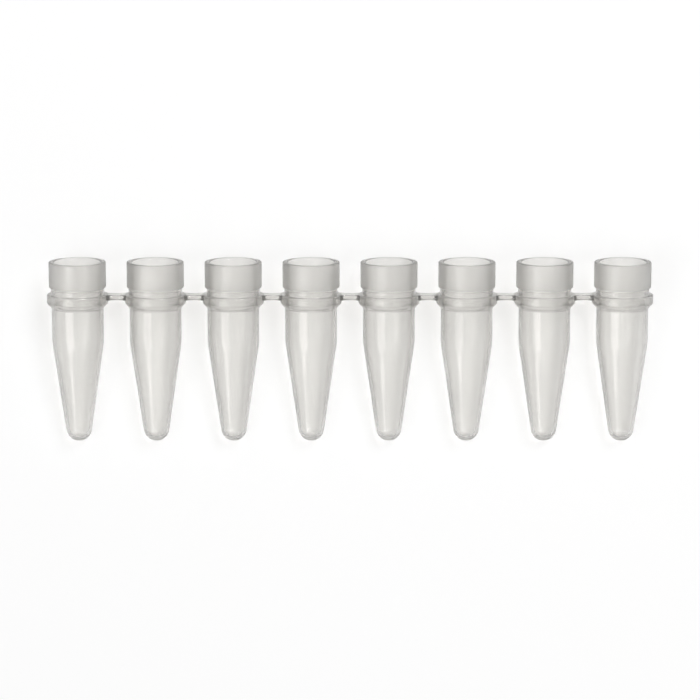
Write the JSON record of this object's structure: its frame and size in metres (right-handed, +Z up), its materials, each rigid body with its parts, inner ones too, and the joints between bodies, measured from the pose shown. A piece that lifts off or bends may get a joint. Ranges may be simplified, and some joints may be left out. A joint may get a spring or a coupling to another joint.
{
  "type": "pcr tube strip",
  "caption": "Row of small open conical tubes in clear plastic, joined by short links under their collars, for heating small samples in a thermal block.",
  "frame": {"origin": "middle of the strip's box, on the surface that it lies on", "axes": "+X along the row of tubes, +Y the way the mouths face, +Z up from the surface; the tubes lie on their sides with their mouths about 7 degrees up from level"},
  "size_m": [0.0702, 0.0212, 0.0074],
  "materials": {
    "natural_polypropylene": "clear, slightly hazy, moulded gloss"
  },
  "bodies": {
    "root": {"tube_strip": "natural_polypropylene"}
  },
  "joints": []
}
